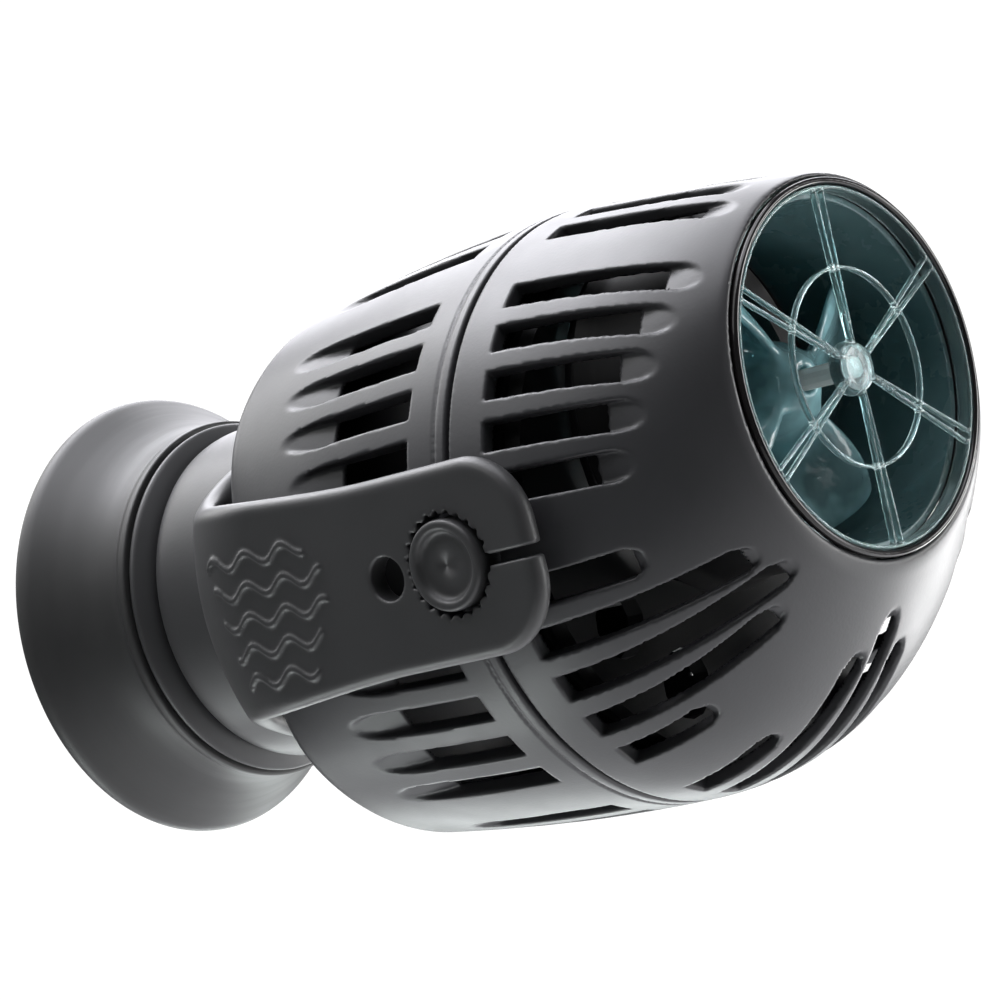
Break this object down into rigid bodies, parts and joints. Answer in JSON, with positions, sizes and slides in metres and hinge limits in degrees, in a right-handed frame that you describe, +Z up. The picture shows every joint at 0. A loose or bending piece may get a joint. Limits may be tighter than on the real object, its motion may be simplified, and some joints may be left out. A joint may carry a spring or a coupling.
{
  "type": "wave maker pump",
  "caption": "Aquarium circulation pump: slotted oval casing with a bent nose and round guarded outlet, held in a fork on a magnetic suction cup.",
  "frame": {"origin": "centre of the suction cup's pad, on the face that meets the glass", "axes": "+X from the glass into the tank along the pump, Y along the tilt pivot, +Z up with the outlet above the casing axis"},
  "size_m": [0.1116, 0.0766, 0.068],
  "materials": {
    "casing_plastic": "satin charcoal",
    "bracket_plastic": "satin charcoal",
    "gloss_black": "polished black",
    "black_resin": "smooth black",
    "clear_teal": "clear, blue-green tint",
    "cup_rubber": "soft dark grey rubber",
    "seal_rubber": "black rubber",
    "magnet_metal": "sintered magnet",
    "stainless_steel": "bright stainless",
    "lamination_steel": "stacked sheets",
    "copper_wire": "enamelled copper",
    "white_ceramic": "polished"
  },
  "bodies": {
    "mount": {"suction_cup": "cup_rubber", "magnet_housing": "bracket_plastic", "mount_magnet": "magnet_metal", "magnet_cover": "black_resin", "swivel_friction_ring": "seal_rubber", "swivel_washer": "stainless_steel", "swivel_screw": "stainless_steel"},
    "bracket": {"bracket_fork": "bracket_plastic"},
    "pump": {"front_shell": "casing_plastic", "rear_shell": "casing_plastic", "coupling_ring": "black_resin", "pivot_pin_near": "bracket_plastic", "pivot_pin_far": "bracket_plastic", "motor_support": "black_resin", "cable_gland": "seal_rubber", "outlet_ring": "gloss_black", "outlet_duct": "gloss_black", "outlet_guard": "clear_teal", "motor_can": "black_resin", "motor_cap": "black_resin", "motor_cap_seal": "seal_rubber", "stator_core": "lamination_steel", "stator_coil_near": "copper_wire", "stator_coil_far": "copper_wire", "rotor_shaft": "white_ceramic", "rear_bushing": "seal_rubber", "front_bushing": "seal_rubber"},
    "rotor": {"rotor_magnet": "magnet_metal", "propeller": "clear_teal"}
  },
  "joints": [
    {"name": "bracket_swivel", "type": "hinge", "parent": "mount", "child": "bracket", "pos_m": [0.0172, 0, 0], "axis": [1, 0, 0], "range_deg": [-180, 180]},
    {"name": "pump_tilt", "type": "hinge", "parent": "bracket", "child": "pump", "pos_m": [0.08, 0, -0.0007], "axis": [0, 1, 0], "range_deg": [-7, 7]},
    {"name": "rotor_spin", "type": "hinge", "parent": "pump", "child": "rotor", "pos_m": [0.096, 0, 0.00904], "axis": [1, 0, 0], "continuous": true}
  ]
}
